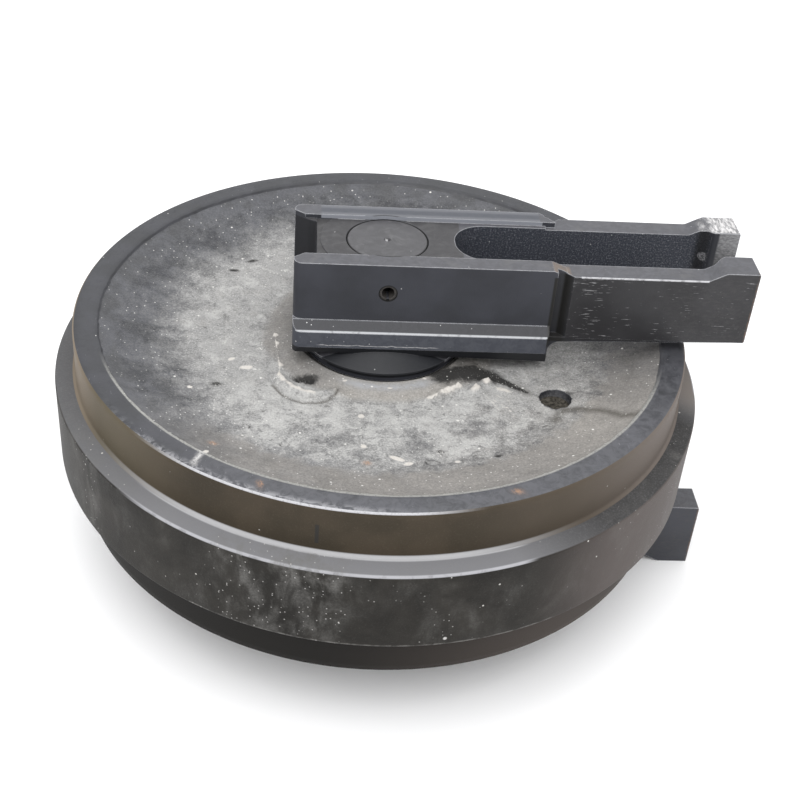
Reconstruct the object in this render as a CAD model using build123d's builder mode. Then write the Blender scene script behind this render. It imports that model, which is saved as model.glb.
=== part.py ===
# Front idler of a crawler excavator: a hollow cast guide wheel that turns on a fixed shaft between
# two bearing blocks. The wheel's mid-plane is z = 0, the shaft is the Z axis, and the forked arms of
# both blocks point along +X, towards the recoil spring. Lengths are in millimetres.
import os
from math import cos, radians, sin, sqrt

from build123d import *

# Wheel: tread, centre flange and dished web
tread_radius = 295.0
wheel_half_width = 92.3
rim_chamfer = 1.4
flange_radius = 314.6
flange_root_half_width = 44.6
flange_tip_half_width = 41.1
flange_root_fillet = 3.5
flange_tip_fillet = 2.5
rim_face_width = 22.3
rim_step_height = 2.6
rim_step_run = 1.6
web_shoulder_inset = 16.0
web_shoulder_drop = 8.8
web_shoulder_fillet = 40.0
web_bend_inset = 62.0
web_bend_rise = 4.0
web_bend_fillet = 140.0
web_foot_fillet = 14.0
web_thickness = 20.0
rim_thickness = 29.0
cavity_fillet = 8.0

# Hub: bore, oil chamber, seal seat and outer ring
hub_wall = 48.0
hub_top_rise = 2.0
hub_ring_width = 15.0
hub_ring_fillet = 6.0
hub_skirt_run = 12.0
hub_skirt_drop = 2.5
oil_chamber_radius = 50.0
oil_chamber_half_height = 9.0
seat_edge_chamfer = 1.0

# Core hole in each web, closed by a pressed plug
core_hole_radius = 15.0
core_hole_inset = 19.86
core_hole_angle = -33.63
core_plug_thickness = 9.0
core_plug_recess = 7.0
core_plug_chamfer = 1.0

# Shaft and bushings
shaft_radius = 38.0
bushing_wall = 6.0
bushing_running_clearance = 0.08
bushing_flange_width = 7.0
bushing_flange_thickness = 4.0
bushing_seat_drop = 36.3
bushing_gap = 1.5
block_bore_clearance = 0.04
press_clearance = 0.02

# Shaft oil passage and its plug, at the lower end, beside the lock pin
oil_hole_x = 20.5
oil_drill_radius = 5.0
oil_cross_drill_radius = 4.0
plug_thread_radius = 8.0
plug_thread_length = 16.0
plug_head_radius = 11.5
plug_head_height = 6.0
plug_head_chamfer = 0.8
plug_hex_across = 10.0
plug_hex_depth = 4.5
plug_pocket_radius = 13.5
plug_pocket_depth = 9.0
washer_thickness = 1.6
centre_mark_radius = 3.2
shaft_end_chamfer = 1.0

# Floating face seals: two steel rings, each carried by a rubber ring
seal_seat_depth = 12.0
seal_face_gap = 0.04
seal_ring_length = 11.0
seal_ring_bore_gap = 1.42
seal_ring_wall = 7.5
seal_ring_flange_width = 6.0
seal_ring_flange_thickness = 2.6
seal_ring_face_recess = 0.8
seal_ring_fillet = 0.5
toric_radius = 4.0
toric_fit = 0.2
toric_offset = 7.0

# Labyrinth between hub and block collar
labyrinth_wall = 16.6
labyrinth_depth = 5.0
labyrinth_gap = 1.0
collar_side_gap = 3.5
collar_rise = 5.0
collar_height = 11.0
collar_edge = 2.0
collar_cone_radius = 61.0
collar_root = 3.5
neck_setback = 3.5
thrust_gap = 0.3
thrust_boss_setback = 2.0

# Bearing block: guide with two ribs, lips and a rear pocket
guide_height = 88.0
rib_height = 4.3
rib_width = 18.5
guide_width = 110.0
guide_front = 155.0
guide_corner = 8.0
lip_height = 23.5
lip_overhang = 9.0
lip_foot = 7.0
lip_setback = 1.0
lip_front_corner = 4.0
foot_inset = 4.5
foot_drop = 5.0
foot_drop_start = 0.0
foot_reach = 2.5
rib_ramp_run = 14.0
rib_front_reach = 10.0
boss_wall = 28.0
pocket_length = 21.0
pocket_flare_length = 13.0
pocket_half_width = 30.0
pocket_flare_half_width = 34.0
pocket_mouth_half_width = 43.0
pocket_corner = 3.0
pocket_flare_fillet = 12.0
pocket_floor = 14.0
spot_face_width = 25.0
spot_face_step = 0.8

# Bearing block: forked arm with two ears
arm_width = 108.0
arm_step = 1.5
arm_end = 344.5
arm_rim_clearance = 12.7
arm_corner = 2.0
arm_foot_depth = 5.5
arm_foot_end = 12.0
arm_foot_draft = 20.0
guide_foot_fillet = 3.0
shoulder_fillet = 12.0
foot_fillet_share = 0.2
shoulder_fillet_share = 0.7
slot_wall = 26.0
slot_width = 64.0
slot_end_radius = 30.0
throat_length = 26.5
throat_taper_run = 12.0
throat_width = 44.0
throat_inner_fillet = 6.0
throat_outer_fillet = 5.0
ear_height = 8.5
ear_length = 31.5
ear_ramp_run = 16.0
ear_end_fillet = 1.0
ear_tip_fillet = 7.0
ear_foot_fillet = 8.0
relief_depth = 9.0
relief_floor_run = 8.0
relief_lift = 1.0
relief_ramp_run = 8.5
relief_corner = 3.0
relief_ramp_fillet = 4.0

# Lock pin through block and shaft
pin_radius = 7.85
pin_bore_radius = 5.95
pin_clearance = 0.05
pin_slot_width = 2.6
pin_drop = 25.3
pin_recess = 1.2
pin_anchor = 6.0
pin_hole_chamfer = 0.8
bore_mouth_chamfer = 1.4

# O-ring between shaft and block
o_ring_radius = 1.8
o_ring_fit = 0.15
o_ring_groove_width = 4.6
o_ring_inset = 10.0

# How far a cutting shape passes beyond what it cuts, and how deep an added one is rooted
margin = 4.0

# Derived radii
hub_bore_radius = shaft_radius + bushing_running_clearance + bushing_wall
hub_outer_radius = hub_bore_radius + hub_wall
bushing_flange_radius = hub_bore_radius + bushing_flange_width
seal_ring_bore = bushing_flange_radius + seal_ring_bore_gap
seal_ring_body_radius = seal_ring_bore + seal_ring_wall
seal_ring_flange_radius = seal_ring_body_radius + seal_ring_flange_width
toric_centre_radius = seal_ring_body_radius + toric_fit + toric_radius
seal_seat_radius = toric_centre_radius + toric_radius + toric_fit
labyrinth_radius = seal_seat_radius + labyrinth_wall
collar_radius = labyrinth_radius - collar_side_gap
neck_radius = collar_radius - neck_setback
hub_ring_outer_radius = labyrinth_radius + hub_ring_width
web_foot_radius = hub_ring_outer_radius + hub_skirt_run
rim_inner_radius = tread_radius - rim_face_width
web_bend_radius = rim_inner_radius - web_bend_inset
web_shoulder_radius = rim_inner_radius - web_shoulder_inset
cavity_outer_radius = tread_radius - rim_thickness
core_hole_distance = web_bend_radius - core_hole_inset
core_hole_x = core_hole_distance * cos(radians(core_hole_angle))
core_hole_y = core_hole_distance * sin(radians(core_hole_angle))
block_bore_radius = shaft_radius + block_bore_clearance
o_ring_centre_radius = shaft_radius + o_ring_fit + o_ring_radius
o_ring_groove_radius = o_ring_centre_radius + o_ring_radius + o_ring_fit
spot_face_radius = shaft_radius + spot_face_width

# Derived heights, from the bushing's seat below the rim face up to the ears
bushing_seat_height = wheel_half_width - bushing_seat_drop
thrust_face = bushing_seat_height + bushing_flange_thickness + thrust_gap
seal_plane = bushing_seat_height + seal_seat_depth
fixed_seat_height = seal_plane + seal_seat_depth
hub_top = seal_plane + hub_top_rise
labyrinth_floor = hub_top - labyrinth_depth
collar_bottom = hub_top + collar_rise
block_bottom = collar_bottom + collar_height
o_ring_height = block_bottom + o_ring_inset
pocket_floor_height = block_bottom + pocket_floor
main_face = block_bottom + guide_height
rib_top = main_face + rib_height
pin_height = main_face - pin_drop
shaft_half_length = main_face
arm_bottom = wheel_half_width + arm_rim_clearance
arm_top = main_face - arm_step
foot_bottom = block_bottom - foot_drop
arm_foot_bottom = arm_bottom - arm_foot_depth
shoulder_rise = arm_foot_bottom - foot_bottom
ear_top = arm_top + ear_height
web_foot_height = hub_top - hub_skirt_drop
web_bend_height = web_foot_height + web_bend_rise
web_shoulder_height = wheel_half_width - web_shoulder_drop
web_slope = web_bend_rise / (web_bend_radius - web_foot_radius)
core_hole_web_height = web_foot_height + web_slope * (core_hole_distance - web_foot_radius)

# Derived lengths along the block, and half widths across it
pocket_web = shaft_radius + boss_wall
pocket_flare_start = pocket_web + pocket_length - pocket_flare_length
guide_rear = pocket_web + pocket_length
slot_start = shaft_radius + slot_wall
rib_ramp_end = guide_front + rib_front_reach
rib_ramp_start = rib_ramp_end - rib_ramp_run
relief_floor_end = guide_front + relief_floor_run
relief_end = relief_floor_end + relief_ramp_run
shoulder_x = guide_front + foot_reach
throat_end = arm_end - throat_length
throat_start = throat_end - throat_taper_run
ear_ramp_end = arm_end - ear_length
ear_ramp_start = ear_ramp_end - ear_ramp_run
pin_depth = shaft_radius + pin_anchor
guide_half = guide_width / 2
lip_half = guide_half + lip_overhang
rib_inner = guide_half - rib_width
arm_half = arm_width / 2
slot_half = slot_width / 2
throat_half = throat_width / 2

os.makedirs("parts", exist_ok=True)
pieces = {}


# Turns a closed outline of (radius, height) points, with a fillet at each, about the Z axis.
def turned(corners):
    points = [(radius, height) for radius, height, fillet_radius in corners]
    radii = [fillet_radius for radius, height, fillet_radius in corners]
    with BuildSketch(Plane.XZ) as section:
        with BuildLine():
            FilletPolyline(*points, radius=radii, close=True)
        make_face()
    revolve(section.sketch, axis=Axis.Z)


# Cuts or adds a plan outline of (x, y) points, with a fillet at each, between two heights.
def plan_prism(corners, low, high, mode=Mode.ADD):
    points = [(x, y) for x, y, fillet_radius in corners]
    radii = [fillet_radius for x, y, fillet_radius in corners]
    with BuildSketch(Plane.XY.offset(low)) as plan:
        with BuildLine():
            FilletPolyline(*points, radius=radii, close=True)
        make_face()
    extrude(plan.sketch, amount=high - low, mode=mode)


# Guide wheel: one casting, symmetrical about its mid-plane, hollow between the webs
cavity_wall_top = web_foot_height - web_thickness
with BuildPart() as wheel_cavity:
    turned(
        [
            (hub_outer_radius, 0, 0),
            (hub_outer_radius, cavity_wall_top, 0),
            (web_bend_radius, web_bend_height - web_thickness, 0),
            (web_shoulder_radius, web_shoulder_height - web_thickness, 0),
            (cavity_outer_radius, cavity_wall_top, cavity_fillet),
            (cavity_outer_radius, 0, 0),
        ]
    )
    mirror(about=Plane.XY)

with BuildPart() as idler_wheel:
    turned(
        [
            (oil_chamber_radius, 0, 0),
            (oil_chamber_radius, oil_chamber_half_height, 0),
            (hub_bore_radius, oil_chamber_half_height, 0),
            (hub_bore_radius, bushing_seat_height, 0),
            (seal_seat_radius, bushing_seat_height, 0),
            (seal_seat_radius, labyrinth_floor, 0),
            (labyrinth_radius, labyrinth_floor, 0),
            (labyrinth_radius, hub_top - seat_edge_chamfer, 0),
            (labyrinth_radius + seat_edge_chamfer, hub_top, 0),
            (hub_ring_outer_radius, hub_top, hub_ring_fillet),
            (web_foot_radius, web_foot_height, web_foot_fillet),
            (web_bend_radius, web_bend_height, web_bend_fillet),
            (web_shoulder_radius, web_shoulder_height, web_shoulder_fillet),
            (rim_inner_radius - rim_step_run, wheel_half_width - rim_step_height, 0),
            (rim_inner_radius, wheel_half_width, 0),
            (tread_radius - rim_chamfer, wheel_half_width, 0),
            (tread_radius, wheel_half_width - rim_chamfer, 0),
            (tread_radius, flange_root_half_width, flange_root_fillet),
            (flange_radius, flange_tip_half_width, flange_tip_fillet),
            (flange_radius, 0, 0),
        ]
    )
    mirror(about=Plane.XY)
    add(wheel_cavity.part, mode=Mode.SUBTRACT)
    for flip in (1, -1):
        with BuildSketch(Plane.XY.offset(flip * web_bend_height)):
            with Locations((core_hole_x, flip * core_hole_y)):
                Circle(core_hole_radius)
        extrude(amount=2 * web_thickness, both=True, mode=Mode.SUBTRACT)
pieces["idler_wheel"] = idler_wheel

# Plug that closes the core hole, pressed in below the web's surface
with BuildPart() as core_plug:
    plug_top = core_hole_web_height - core_plug_recess
    with BuildSketch(Plane.XY.offset(plug_top - core_plug_thickness)):
        with Locations((core_hole_x, core_hole_y)):
            Circle(core_hole_radius - press_clearance)
    extrude(amount=core_plug_thickness)
    chamfer(core_plug.edges().group_by(Axis.Z)[-1], core_plug_chamfer)
pieces["upper_core_plug"] = core_plug

# Flanged bushing, pressed into the hub and running on the shaft
with BuildPart() as bushing:
    running_bore = shaft_radius + bushing_running_clearance
    turned(
        [
            (running_bore, bushing_gap, 0),
            (hub_bore_radius, bushing_gap, 0),
            (hub_bore_radius, bushing_seat_height, 0),
            (bushing_flange_radius, bushing_seat_height, 0),
            (bushing_flange_radius, bushing_seat_height + bushing_flange_thickness, 0),
            (running_bore, bushing_seat_height + bushing_flange_thickness, 0),
        ]
    )
pieces["upper_bushing"] = bushing


# Steel seal ring with its lapped face at seal_plane: direction 1 stands above it, -1 below it.
def seal_ring(direction):
    face = seal_plane + direction * seal_face_gap / 2
    recess = face + direction * seal_ring_face_recess
    flange_back = face + direction * seal_ring_flange_thickness
    back = face + direction * seal_ring_length
    lapped_inner = (seal_ring_bore + seal_ring_flange_radius) / 2
    with BuildPart() as ring:
        turned(
            [
                (seal_ring_bore, recess, 0),
                (lapped_inner, recess, 0),
                (lapped_inner, face, 0),
                (seal_ring_flange_radius, face, 0),
                (seal_ring_flange_radius, flange_back, 0),
                (seal_ring_body_radius, flange_back, seal_ring_fillet),
                (seal_ring_body_radius, back, 0),
                (seal_ring_bore, back, 0),
            ]
        )
    return ring


# Rubber ring of round section about the Z axis.
def rubber_ring(centre_radius, section_radius, height):
    with BuildPart() as ring:
        with BuildSketch(Plane.XZ):
            with Locations((centre_radius, height)):
                Circle(section_radius)
        revolve(axis=Axis.Z)
    return ring


pieces["upper_rotating_seal_ring"] = seal_ring(-1)
pieces["upper_fixed_seal_ring"] = seal_ring(1)
pieces["upper_rotating_toric"] = rubber_ring(toric_centre_radius, toric_radius, seal_plane - toric_offset)
pieces["upper_fixed_toric"] = rubber_ring(toric_centre_radius, toric_radius, seal_plane + toric_offset)
pieces["upper_o_ring"] = rubber_ring(o_ring_centre_radius, o_ring_radius, o_ring_height)

# Two guide ribs: the near one ramps down to the arm, the far one ends on a slant
with BuildPart() as ribs:
    rib_base = arm_top - margin
    for rib_side, ramp_start in ((rib_inner, rib_ramp_start), (-guide_half, rib_ramp_end)):
        with BuildSketch(Plane.XZ.offset(rib_side)):
            with BuildLine():
                Polyline(
                    (-guide_rear, rib_base),
                    (-guide_rear, rib_top),
                    (ramp_start, rib_top),
                    (rib_ramp_end, arm_top),
                    (rib_ramp_end, rib_base),
                    close=True,
                )
            make_face()
        extrude(amount=rib_width)
    slant = [
        (rib_ramp_start, guide_half, 0),
        (rib_ramp_end, rib_inner, 0),
        (rib_ramp_end + margin, guide_half + margin, 0),
    ]
    plan_prism(slant, arm_top, rib_top + margin, mode=Mode.SUBTRACT)

# Lips along both lower edges of the guide, over a drafted foot that sinks towards the front
with BuildPart() as lips:
    lip_top = block_bottom + lip_height
    with BuildSketch(Plane.YZ.offset(-guide_rear)):
        with BuildLine():
            Polyline(
                (guide_half, lip_top + lip_overhang),
                (lip_half, lip_top),
                (lip_half, block_bottom + lip_foot),
                (lip_half - foot_inset, foot_bottom),
                (foot_inset - lip_half, foot_bottom),
                (-lip_half, block_bottom + lip_foot),
                (-lip_half, lip_top),
                (-guide_half, lip_top + lip_overhang),
                close=True,
            )
        make_face()
    extrude(amount=guide_rear + guide_front - lip_setback)
    lip_plan = [
        (-guide_rear, -lip_half, guide_corner),
        (guide_front - lip_setback, -lip_half, lip_front_corner),
        (guide_front - lip_setback, lip_half, lip_front_corner),
        (-guide_rear, lip_half, guide_corner),
    ]
    plan_prism(lip_plan, foot_bottom, lip_top + lip_overhang, mode=Mode.INTERSECT)
    with BuildSketch(Plane.XZ.offset(-lip_half)):
        with BuildLine():
            Polyline(
                (-guide_rear, foot_bottom),
                (-guide_rear, block_bottom),
                (foot_drop_start, block_bottom),
                (guide_front, foot_bottom),
                close=True,
            )
        make_face()
    extrude(amount=2 * lip_half, mode=Mode.SUBTRACT)

# Foot under the arm: drafted sides, a filleted shoulder and an underside that rises to the arm's end
with BuildPart() as arm_foot:
    with BuildSketch(Plane.XY.offset(arm_bottom)):
        with Locations(((arm_end + foot_drop_start) / 2, 0)):
            Rectangle(arm_end - foot_drop_start, arm_width)
    extrude(amount=foot_bottom - arm_bottom, taper=arm_foot_draft)
    with BuildSketch(Plane.XZ.offset(-arm_half)):
        with BuildLine():
            FilletPolyline(
                (guide_front / 2, arm_bottom),
                (guide_front / 2, foot_bottom),
                (shoulder_x, foot_bottom),
                (shoulder_x, arm_foot_bottom),
                (arm_end - arm_foot_end, arm_bottom),
                radius=[
                    0,
                    0,
                    min(guide_foot_fillet, foot_fillet_share * shoulder_rise),
                    min(shoulder_fillet, shoulder_fillet_share * shoulder_rise),
                    0,
                ],
                close=True,
            )
        make_face()
    extrude(amount=arm_width, mode=Mode.INTERSECT)

# Bearing block: guide, arm, ribs, lips and the collar over the hub, then its hollows
with BuildPart() as bearing_block:
    with BuildSketch(Plane.XY.offset(block_bottom)):
        with Locations(((guide_front - guide_rear) / 2, 0)):
            Rectangle(guide_front + guide_rear, guide_width)
    extrude(amount=main_face - block_bottom)
    add(ribs.part)
    rear_edges = bearing_block.edges().filter_by(Axis.Z).group_by(Axis.X)[0]
    fillet(rear_edges, guide_corner)
    add(lips.part)

    # arm with its ears, and its foot
    with BuildSketch(Plane.XZ.offset(-arm_half)):
        with BuildLine():
            FilletPolyline(
                (0, arm_bottom),
                (arm_end, arm_bottom),
                (arm_end, ear_top),
                (ear_ramp_end, ear_top),
                (ear_ramp_start, arm_top),
                (0, arm_top),
                radius=[
                    0,
                    arm_corner,
                    ear_end_fillet,
                    ear_tip_fillet,
                    ear_foot_fillet,
                    0,
                ],
                close=True,
            )
        make_face()
    extrude(amount=arm_width)
    add(arm_foot.part)

    # yoke slot between the arm's walls, narrowing between the ears
    yoke_slot = [
        (slot_start, -slot_half, slot_end_radius),
        (throat_start, -slot_half, throat_inner_fillet),
        (throat_end, -throat_half, throat_outer_fillet),
        (arm_end + margin, -throat_half, 0),
        (arm_end + margin, throat_half, 0),
        (throat_end, throat_half, throat_outer_fillet),
        (throat_start, slot_half, throat_inner_fillet),
        (slot_start, slot_half, slot_end_radius),
    ]
    plan_prism(yoke_slot, foot_bottom - margin, ear_top + margin, mode=Mode.SUBTRACT)

    # pocket behind the shaft boss, flaring towards the rear
    rear_pocket = [
        (-pocket_web, -pocket_half_width, pocket_corner),
        (-pocket_flare_start, -pocket_flare_half_width, pocket_flare_fillet),
        (-guide_rear - margin, -pocket_mouth_half_width - margin, 0),
        (-guide_rear - margin, pocket_mouth_half_width + margin, 0),
        (-pocket_flare_start, pocket_flare_half_width, pocket_flare_fillet),
        (-pocket_web, pocket_half_width, pocket_corner),
    ]
    plan_prism(rear_pocket, pocket_floor_height, rib_top + margin, mode=Mode.SUBTRACT)

    # tool relief between guide face and arm, on both sides, down to the foot
    for side in (-1, 1):
        relief = [
            (guide_front, side * (guide_half + margin), 0),
            (guide_front, side * (guide_half - relief_depth), relief_corner),
            (relief_floor_end, side * (guide_half - relief_depth), relief_ramp_fillet),
            (relief_end + margin, side * (guide_half + margin), 0),
        ]
        plan_prism(relief, arm_bottom + relief_lift, rib_top + margin, mode=Mode.SUBTRACT)

    # as-cast ledge behind the machined spot face
    with BuildSketch(Plane.XY.offset(main_face - spot_face_step)):
        with Locations((-pocket_web / 2, 0)):
            Rectangle(pocket_web, 2 * rib_inner)
        Circle(spot_face_radius, mode=Mode.SUBTRACT)
    extrude(amount=spot_face_step, mode=Mode.SUBTRACT)

    # collar, neck and thrust boss over the hub
    turned(
        [
            (0, collar_bottom, 0),
            (collar_radius, collar_bottom, 0),
            (collar_radius, collar_bottom + collar_edge, 0),
            (collar_cone_radius, block_bottom + collar_root, 0),
            (0, block_bottom + collar_root, 0),
        ]
    )
    neck_bottom = labyrinth_floor + labyrinth_gap
    with BuildSketch(Plane.XY.offset(neck_bottom)):
        Circle(neck_radius)
        Circle(seal_seat_radius, mode=Mode.SUBTRACT)
    extrude(amount=collar_bottom - neck_bottom)
    with BuildSketch(Plane.XY.offset(collar_bottom)):
        Circle(seal_seat_radius)
    extrude(amount=fixed_seat_height - collar_bottom, mode=Mode.SUBTRACT)
    with BuildSketch(Plane.XY.offset(thrust_face)):
        Circle(bushing_flange_radius - thrust_boss_setback)
    extrude(amount=fixed_seat_height - thrust_face)

    # shaft bore, O-ring groove and lock pin hole
    with BuildSketch(Plane.XY.offset(thrust_face - margin)):
        Circle(block_bore_radius)
    extrude(amount=rib_top + 2 * margin - thrust_face, mode=Mode.SUBTRACT)
    with BuildSketch(Plane.XY.offset(o_ring_height - o_ring_groove_width / 2)):
        Circle(o_ring_groove_radius)
    extrude(amount=o_ring_groove_width, mode=Mode.SUBTRACT)
    with BuildSketch(Plane.XZ.offset(guide_half)):
        with Locations((0, pin_height)):
            Circle(pin_radius + pin_clearance)
    extrude(amount=-(guide_half + pin_depth + pin_clearance), mode=Mode.SUBTRACT)
    mouth = bearing_block.edges().filter_by(GeomType.CIRCLE).sort_by(Axis.Y)[0]
    chamfer(mouth, pin_hole_chamfer)
    with BuildSketch(Plane.XY.offset(main_face - bore_mouth_chamfer)):
        Circle(block_bore_radius)
    extrude(amount=bore_mouth_chamfer, taper=-45, mode=Mode.SUBTRACT)
pieces["upper_bearing_block"] = bearing_block

# Lock pin: a rolled spring pin with an open seam
with BuildPart() as lock_pin:
    with BuildSketch(Plane.XZ.offset(guide_half - pin_recess)):
        with Locations((0, pin_height)):
            Circle(pin_radius)
            Circle(pin_bore_radius, mode=Mode.SUBTRACT)
        with Locations((0, pin_height - pin_radius)):
            Rectangle(pin_slot_width, pin_radius, mode=Mode.SUBTRACT)
    extrude(amount=-(guide_half - pin_recess + pin_depth))
pieces["upper_lock_pin"] = lock_pin

# Each lower piece is the same part turned half way round about the X axis
for upper_name in list(pieces):
    if upper_name.startswith("upper_"):
        with BuildPart() as turned_over:
            add(pieces[upper_name].part, rotation=(180, 0, 0))
        pieces[upper_name.replace("upper_", "lower_")] = turned_over

# Shaft: plain journal with a pin hole near each end and an oil passage from the lower end
plug_seat = shaft_half_length - plug_pocket_depth
with BuildPart() as shaft:
    Cylinder(shaft_radius, 2 * shaft_half_length)
    chamfer(shaft.edges().filter_by(GeomType.CIRCLE), shaft_end_chamfer)
    for side in (1, -1):
        with BuildSketch(Plane.XZ):
            with Locations((0, side * pin_height)):
                Circle(pin_radius + pin_clearance)
        extrude(amount=shaft_radius + margin, both=True, mode=Mode.SUBTRACT)
    for radius, depth in (
        (plug_pocket_radius, plug_pocket_depth),
        (plug_thread_radius + press_clearance, plug_pocket_depth + plug_thread_length + washer_thickness),
        (oil_drill_radius, shaft_half_length),
    ):
        with BuildSketch(Plane.XY.offset(-shaft_half_length)):
            with Locations((oil_hole_x, 0)):
                Circle(radius)
        extrude(amount=depth, mode=Mode.SUBTRACT)
    with BuildSketch(Plane.YZ.offset(oil_hole_x)):
        Circle(oil_cross_drill_radius)
    extrude(amount=shaft_radius, mode=Mode.SUBTRACT)
    with BuildSketch(Plane.XZ):
        with BuildLine():
            Polyline(
                (0, shaft_half_length),
                (centre_mark_radius, shaft_half_length),
                (0, shaft_half_length - centre_mark_radius * sqrt(3)),
                close=True,
            )
        make_face()
    revolve(axis=Axis.Z, mode=Mode.SUBTRACT)
pieces["shaft"] = shaft

# Sealing washer and hexagon socket plug in the lower end of the shaft
with BuildPart() as plug_washer:
    with BuildSketch(Plane.XY.offset(-plug_seat)):
        with Locations((oil_hole_x, 0)):
            Circle(plug_head_radius)
            Circle(plug_thread_radius + press_clearance, mode=Mode.SUBTRACT)
    extrude(amount=-washer_thickness)
pieces["oil_plug_washer"] = plug_washer

with BuildPart() as oil_plug:
    head_seat = -plug_seat - washer_thickness
    with BuildSketch(Plane.XY.offset(head_seat)):
        with Locations((oil_hole_x, 0)):
            Circle(plug_head_radius)
    extrude(amount=-plug_head_height)
    chamfer(oil_plug.edges().group_by(Axis.Z)[0], plug_head_chamfer)
    with BuildSketch(Plane.XY.offset(head_seat)):
        with Locations((oil_hole_x, 0)):
            Circle(plug_thread_radius)
    extrude(amount=plug_thread_length)
    with BuildSketch(Plane.XY.offset(head_seat - plug_head_height)):
        with Locations((oil_hole_x, 0)):
            RegularPolygon(plug_hex_across / 2, 6, major_radius=False)
    extrude(amount=plug_hex_depth, mode=Mode.SUBTRACT)
pieces["oil_plug"] = oil_plug

for name, piece in pieces.items():
    piece.part.label = name
    export_step(piece.part, f"parts/{name}.step")
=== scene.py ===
# Front idler: cast detail, finish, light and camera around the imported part. Metres, +Z up.
import math

import bmesh
import bpy
import numpy as np
from mathutils import Matrix, Vector, noise


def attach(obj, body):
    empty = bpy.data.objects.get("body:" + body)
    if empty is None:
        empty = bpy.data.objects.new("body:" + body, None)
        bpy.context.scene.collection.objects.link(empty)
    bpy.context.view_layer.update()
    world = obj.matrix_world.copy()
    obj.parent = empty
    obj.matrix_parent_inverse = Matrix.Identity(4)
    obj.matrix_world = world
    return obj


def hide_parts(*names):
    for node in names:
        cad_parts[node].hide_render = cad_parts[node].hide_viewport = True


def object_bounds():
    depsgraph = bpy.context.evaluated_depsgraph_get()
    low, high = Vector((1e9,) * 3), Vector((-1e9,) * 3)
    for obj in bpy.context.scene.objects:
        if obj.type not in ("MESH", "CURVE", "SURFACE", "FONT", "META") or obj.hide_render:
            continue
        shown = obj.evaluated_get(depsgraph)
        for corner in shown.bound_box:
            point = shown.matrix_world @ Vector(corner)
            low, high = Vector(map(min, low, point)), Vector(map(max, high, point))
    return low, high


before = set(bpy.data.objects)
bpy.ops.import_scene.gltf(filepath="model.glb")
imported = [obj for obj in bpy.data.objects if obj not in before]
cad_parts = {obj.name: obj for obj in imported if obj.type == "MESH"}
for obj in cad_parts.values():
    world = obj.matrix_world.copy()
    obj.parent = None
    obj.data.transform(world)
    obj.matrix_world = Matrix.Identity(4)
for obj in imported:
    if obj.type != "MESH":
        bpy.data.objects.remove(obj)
cad_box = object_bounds()

MM = 0.001
floor_height = cad_box[0][2]

# Sizes of the wheel's outline, in millimetres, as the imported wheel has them
tread_radius = 295.0
flange_radius = 314.6
slope_inner_height = 44.6
slope_outer_height = 41.1
tread_fillet = 3.5
flange_fillet = 2.5
wheel_half_width = 92.3
outer_chamfer = 1.4
rim_inner_radius = 272.7
hub_top = 70.0
labyrinth_floor = 65.0
labyrinth_chamfer = 1.0
bushing_seat_height = 56.0
seal_seat_radius = 68.4
hub_bore_radius = 44.08
hub_ring_radius = 100.0
hub_ring_fillet = 6.0
web_foot_radius = 112.0
web_foot_height = 67.5
web_foot_fillet = 14.0
web_bend_radius = 210.7
web_bend_height = 71.5
web_bend_fillet = 140.0
web_shoulder_radius = 256.7
web_shoulder_height = 83.5
web_shoulder_fillet = 40.0
core_hole_centre = (158.9, -105.7)
core_hole_radius = 15.0

# How deep the core hole is cut below the web's bend, a little past the top of the plug in it
core_hole_depth = 12.0

# Labyrinth edge, 1.6 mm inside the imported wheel's, as the gap at the collar looks finer in the photograph
labyrinth_radius = 83.4

# Step from the rough casting up to the turned rim face, and the bevel at its top: width and depth
cast_step = (1.6, 2.6)
cast_step_bevel = (0.5, 0.6)

# Fineness of the wheel's mesh: points round it, and the longest run of its outline in each zone
segments = 540
upper_web_spacing = 1.4
lower_web_spacing = 4.0
rim_spacing = 5.0
side_spacing = 6.0

# Sizes of the bearing block and the shaft that their finish follows
main_face = 174.0
rib_top = 178.3
rib_inner = 36.5
guide_front = 155.0
guide_half = 55.0
arm_top = 172.5
arm_half = 54.0
slot_half = 32.0
pin_height = main_face - 25.3
shaft_radius = 38.0


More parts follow.
